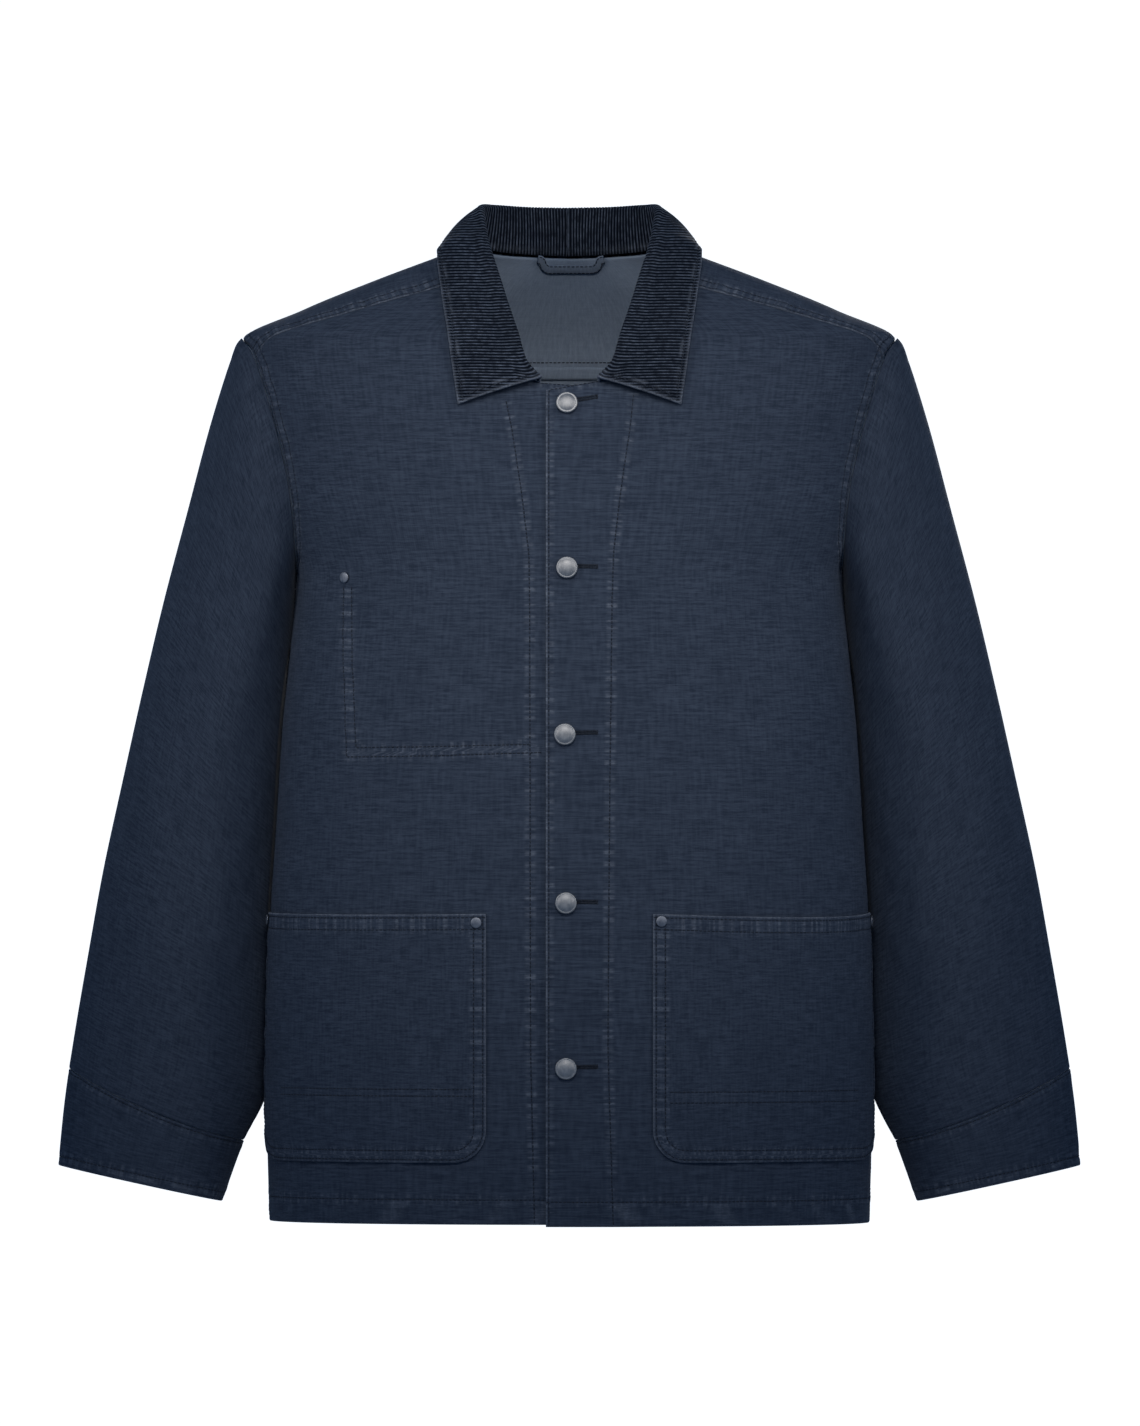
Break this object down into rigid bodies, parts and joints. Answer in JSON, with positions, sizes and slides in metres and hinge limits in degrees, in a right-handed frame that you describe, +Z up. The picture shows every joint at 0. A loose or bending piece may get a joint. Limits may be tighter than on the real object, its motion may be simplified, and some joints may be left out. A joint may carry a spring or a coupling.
{
  "type": "chore jacket",
  "caption": "Navy canvas chore jacket in worn, hollow form, with a corduroy collar, buttoned placket, patch hip pockets and set-in cuffs.",
  "frame": {"origin": "on the centre plane, midway between the side seams, at the level where the shoulders meet the collar: where the wearer's shoulders hold the jacket", "axes": "+X to the wearer's left, the front faces -Y, +Z up"},
  "size_m": [0.768, 0.2443, 0.7642],
  "materials": {
    "canvas": "matt navy cotton canvas with a fine slub and pale worn seams",
    "corduroy": "dark navy cotton corduroy",
    "button_metal": "satin grey metal, slightly tarnished",
    "rivet_metal": "dark gunmetal"
  },
  "bodies": {
    "root": {"front_right": "canvas", "front_left": "canvas", "back": "canvas", "yoke": "canvas", "sleeve_right": "canvas", "cuff_right": "canvas", "hip_pocket_right": "canvas", "sleeve_left": "canvas", "cuff_left": "canvas", "hip_pocket_left": "canvas", "hanger_loop": "canvas", "collar": "corduroy", "button_1": "button_metal", "button_2": "button_metal", "button_3": "button_metal", "button_4": "button_metal", "button_5": "button_metal", "rivet_chest": "rivet_metal", "rivet_right_inner": "rivet_metal", "rivet_right_outer": "rivet_metal", "rivet_left_inner": "rivet_metal", "rivet_left_outer": "rivet_metal"}
  },
  "joints": []
}
